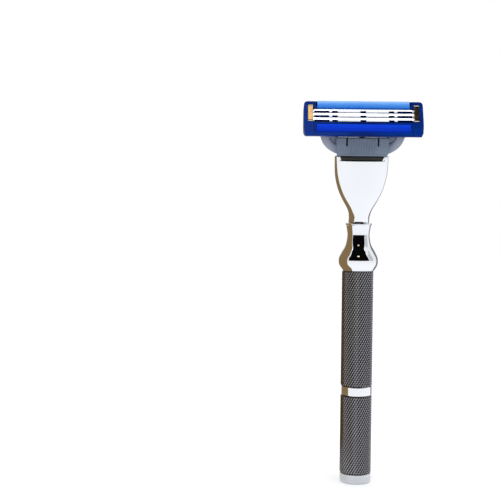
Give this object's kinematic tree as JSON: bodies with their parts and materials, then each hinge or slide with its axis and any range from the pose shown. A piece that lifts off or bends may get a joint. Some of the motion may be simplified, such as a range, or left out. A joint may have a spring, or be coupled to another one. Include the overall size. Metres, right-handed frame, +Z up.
{
  "type": "cartridge razor",
  "caption": "Safety razor with a sprung, pivoting blade cartridge on a flared neck, and a straight knurled metal handle that stands on its flat end.",
  "frame": {"origin": "centre of the flat underside of the end cap, on the handle's axis", "axes": "+Z up the handle's axis towards the head; -Y is the way the blades face; X runs along the blades"},
  "size_m": [0.0422, 0.0223, 0.1377],
  "materials": {
    "satin_steel": "satin turned metal, end cap and tie rod",
    "gunmetal": "dark gunmetal plating over a fine diamond knurl",
    "chrome": "mirror polished chrome plate",
    "spring_steel": "drawn spring wire",
    "blade_steel": "bright ground stainless steel",
    "clip_metal": "bright polished aluminium strip",
    "black_plastic": "black moulded plastic, slightly glossy",
    "grey_blue_plastic": "grey-blue moulded plastic with fine ribs",
    "navy_plastic": "dark navy moulded plastic, glossy",
    "guard_rubber": "deep blue moulded elastomer",
    "strip_polymer": "light blue water-soluble polymer strip, faintly mottled"
  },
  "bodies": {
    "handle": {"end_cap": "satin_steel", "lower_grip": "gunmetal", "centre_ring": "chrome", "upper_grip": "gunmetal", "tie_rod": "satin_steel", "collar": "chrome", "neck": "chrome", "dock_insert": "black_plastic", "plunger_spring": "spring_steel"},
    "plunger": {"plunger": "black_plastic"},
    "connector": {"connector": "grey_blue_plastic"},
    "cartridge": {"cartridge_housing": "navy_plastic", "guard_strip": "guard_rubber", "lubricating_strip": "strip_polymer", "clip_right": "clip_metal", "clip_left": "clip_metal"},
    "blade_unit_1": {"blade_1": "blade_steel", "blade_support_1": "blade_steel"},
    "blade_unit_2": {"blade_2": "blade_steel", "blade_support_2": "blade_steel"},
    "blade_unit_3": {"blade_3": "blade_steel", "blade_support_3": "blade_steel"}
  },
  "joints": [
    {"name": "cartridge_release", "type": "slide", "parent": "handle", "child": "connector", "axis": [0, -0.1736, 0.9848], "range_m": [0, 0.014]},
    {"name": "cartridge_pivot", "type": "hinge", "parent": "connector", "child": "cartridge", "pos_m": [0, -0.01062, 0.12756], "axis": [-1, 0, 0], "range_deg": [0, 40], "stiffness_Nm_per_rad": 0.003, "springref_deg": -20.05},
    {"name": "plunger_slide", "type": "slide", "parent": "handle", "child": "plunger", "axis": [0, 0.1736, -0.9848], "range_m": [0, 0.00165], "deforming": ["plunger_spring"]},
    {"name": "blade_1_slide", "type": "slide", "parent": "cartridge", "child": "blade_unit_1", "axis": [0, 0.9537, -0.3007], "range_m": [0, 0.00025], "stiffness_N_per_m": 1200, "springref_m": -0.0001},
    {"name": "blade_2_slide", "type": "slide", "parent": "cartridge", "child": "blade_unit_2", "axis": [0, 0.9537, -0.3007], "range_m": [0, 0.00025], "stiffness_N_per_m": 1200, "springref_m": -0.0001},
    {"name": "blade_3_slide", "type": "slide", "parent": "cartridge", "child": "blade_unit_3", "axis": [0, 0.9537, -0.3007], "range_m": [0, 0.00025], "stiffness_N_per_m": 1200, "springref_m": -0.0001}
  ],
  "couplings": [
    {"joint": "plunger_slide", "follows": "cartridge_pivot", "m_per_rad": 0.002332}
  ]
}
